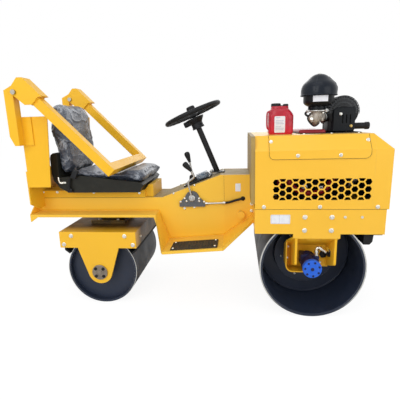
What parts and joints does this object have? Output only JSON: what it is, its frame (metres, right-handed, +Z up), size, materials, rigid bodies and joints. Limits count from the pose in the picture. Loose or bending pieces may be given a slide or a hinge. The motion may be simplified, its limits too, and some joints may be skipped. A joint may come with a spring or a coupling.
{
  "type": "asphalt roller",
  "caption": "Compact ride-on asphalt roller with a wide front drum under an engine hood, a steered rear drum and a folding roll bar.",
  "frame": {"origin": "on the floor under the middle of the whole machine's bounding box", "axes": "+X forward, +Y to the machine's left, +Z up"},
  "size_m": [1.994, 0.746, 1.3186],
  "materials": {
    "yellow_paint": "gloss",
    "black_paint": "satin",
    "red_paint": "gloss",
    "blue_paint": "gloss",
    "drum_steel": "satin",
    "bright_steel": "brushed",
    "cast_aluminium": "cast",
    "black_rubber": "matte",
    "black_plastic": "matte",
    "red_plastic": "gloss",
    "seat_vinyl": "satin"
  },
  "bodies": {
    "chassis": {"side_plates": "yellow_paint", "body_cover": "yellow_paint", "belly_plate": "yellow_paint", "rear_cross_plate": "yellow_paint", "step_treads": "black_rubber", "seat_tray": "yellow_paint", "seat_shell": "black_plastic", "seat_cushion": "seat_vinyl", "seat_backrest": "seat_vinyl", "belt_buckle": "black_plastic", "rops_columns": "yellow_paint", "rops_posts": "yellow_paint", "rops_pins": "bright_steel", "frame_sides": "yellow_paint", "frame_cross_plates": "yellow_paint", "engine_deck": "yellow_paint", "engine_block": "black_paint", "fuel_tank": "red_paint", "hood_sides": "yellow_paint", "hood_front_panel": "yellow_paint", "hood_top_panel": "yellow_paint", "hood_rear_panel": "yellow_paint", "access_panels": "yellow_paint", "coolant_bottle": "red_plastic", "air_cleaner": "black_plastic", "intake_elbow": "cast_aluminium", "muffler": "black_paint", "tail_pipe": "black_paint", "drum_brackets": "yellow_paint", "drive_motors": "blue_paint", "hose_fittings": "bright_steel", "front_scraper": "black_rubber", "steering_column": "black_paint", "column_head": "black_plastic", "lever_quadrant": "black_paint", "travel_lever": "bright_steel", "throttle_lever": "black_plastic", "control_rod": "bright_steel", "yoke_pivot": "black_paint"},
    "front_drum": {"front_drum_shell": "drum_steel", "front_drum_discs": "drum_steel"},
    "rear_yoke": {"yoke": "yellow_paint", "yoke_hubs": "bright_steel", "rear_scrapers": "black_rubber"},
    "rear_drum": {"rear_drum_shell": "drum_steel", "rear_drum_discs": "drum_steel"},
    "steering_wheel": {"steering_wheel": "black_plastic"},
    "roll_bar": {"rops_hoop": "yellow_paint"}
  },
  "joints": [
    {"name": "front_drum_roll", "type": "hinge", "parent": "chassis", "child": "front_drum", "pos_m": [0.641, 0, 0.28], "axis": [0, 1, 0], "continuous": true},
    {"name": "rear_yoke_steer", "type": "hinge", "parent": "chassis", "child": "rear_yoke", "pos_m": [-0.569, 0, 0.5], "axis": [0, 0, 1], "range_deg": [-30, 30]},
    {"name": "rear_drum_roll", "type": "hinge", "parent": "rear_yoke", "child": "rear_drum", "pos_m": [-0.569, 0, 0.2125], "axis": [0, 1, 0], "continuous": true},
    {"name": "steering_wheel_turn", "type": "hinge", "parent": "chassis", "child": "steering_wheel", "pos_m": [-0.01486, 0, 1.09679], "axis": [-0.3746, 0, 0.9272], "continuous": true},
    {"name": "roll_bar_fold", "type": "hinge", "parent": "chassis", "child": "roll_bar", "pos_m": [-0.921, 0, 1.246], "axis": [0, -1, 0], "range_deg": [0, 135.5]}
  ]
}
